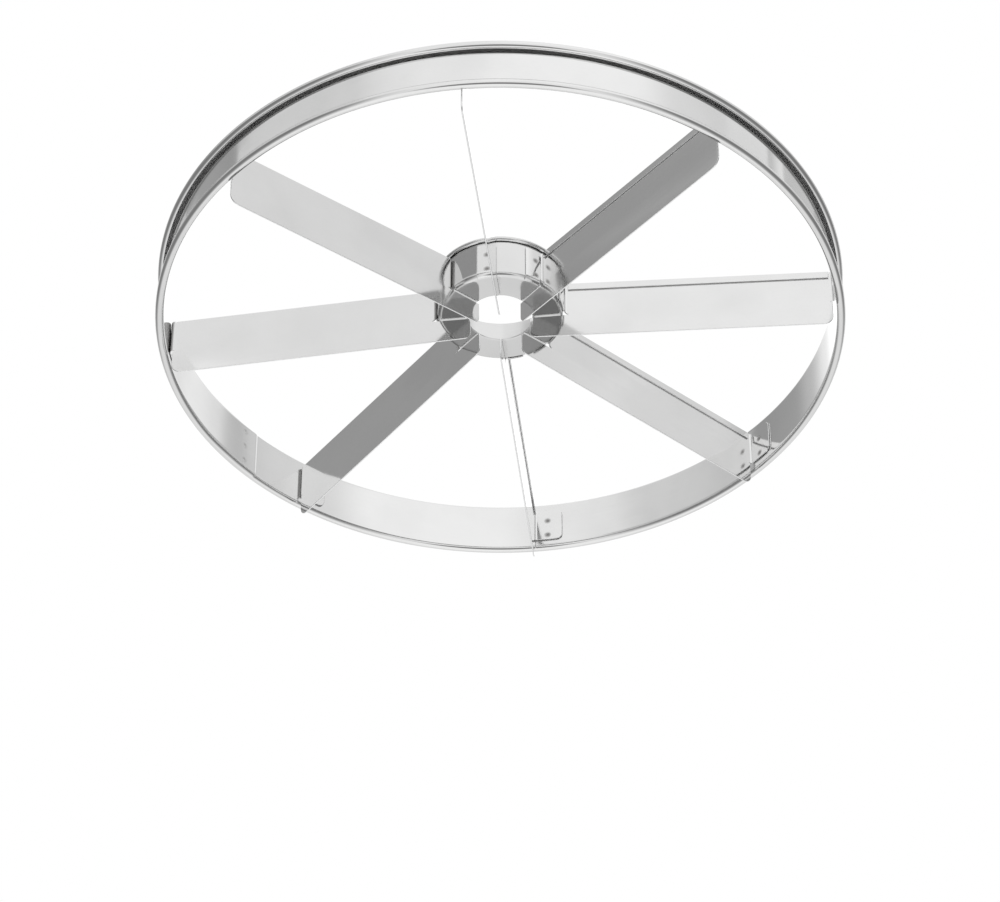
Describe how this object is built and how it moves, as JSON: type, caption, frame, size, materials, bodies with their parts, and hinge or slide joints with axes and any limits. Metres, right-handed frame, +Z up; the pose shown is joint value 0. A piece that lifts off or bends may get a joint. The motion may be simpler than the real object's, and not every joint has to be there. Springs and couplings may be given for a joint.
{
  "type": "cake portion marker",
  "caption": "Round sheet-steel marker: thin upright blades run from a cup-shaped hub to a rolled outer ring, to press even portion lines into a cake.",
  "frame": {"origin": "on the ring's axis, level with the lowest corners of the blades, which touch the surface it stands on", "axes": "+Z up along the ring's axis, from the blades' marking edges to the hub's rim; +X along blade_1"},
  "size_m": [0.28, 0.28, 0.0374],
  "materials": {
    "ring_steel": "bright rolled stainless strip, plain wall with rolled edges",
    "hub_steel": "bright drawn stainless cup with a rolled rim",
    "blade_steel": "bright stainless sheet, hemmed and folded, spot-welded at the tabs"
  },
  "bodies": {
    "root": {"outer_ring": "ring_steel", "hub": "hub_steel", "blade_1": "blade_steel", "blade_2": "blade_steel", "blade_3": "blade_steel", "blade_4": "blade_steel", "blade_5": "blade_steel", "blade_6": "blade_steel", "blade_7": "blade_steel", "blade_8": "blade_steel"}
  },
  "joints": []
}
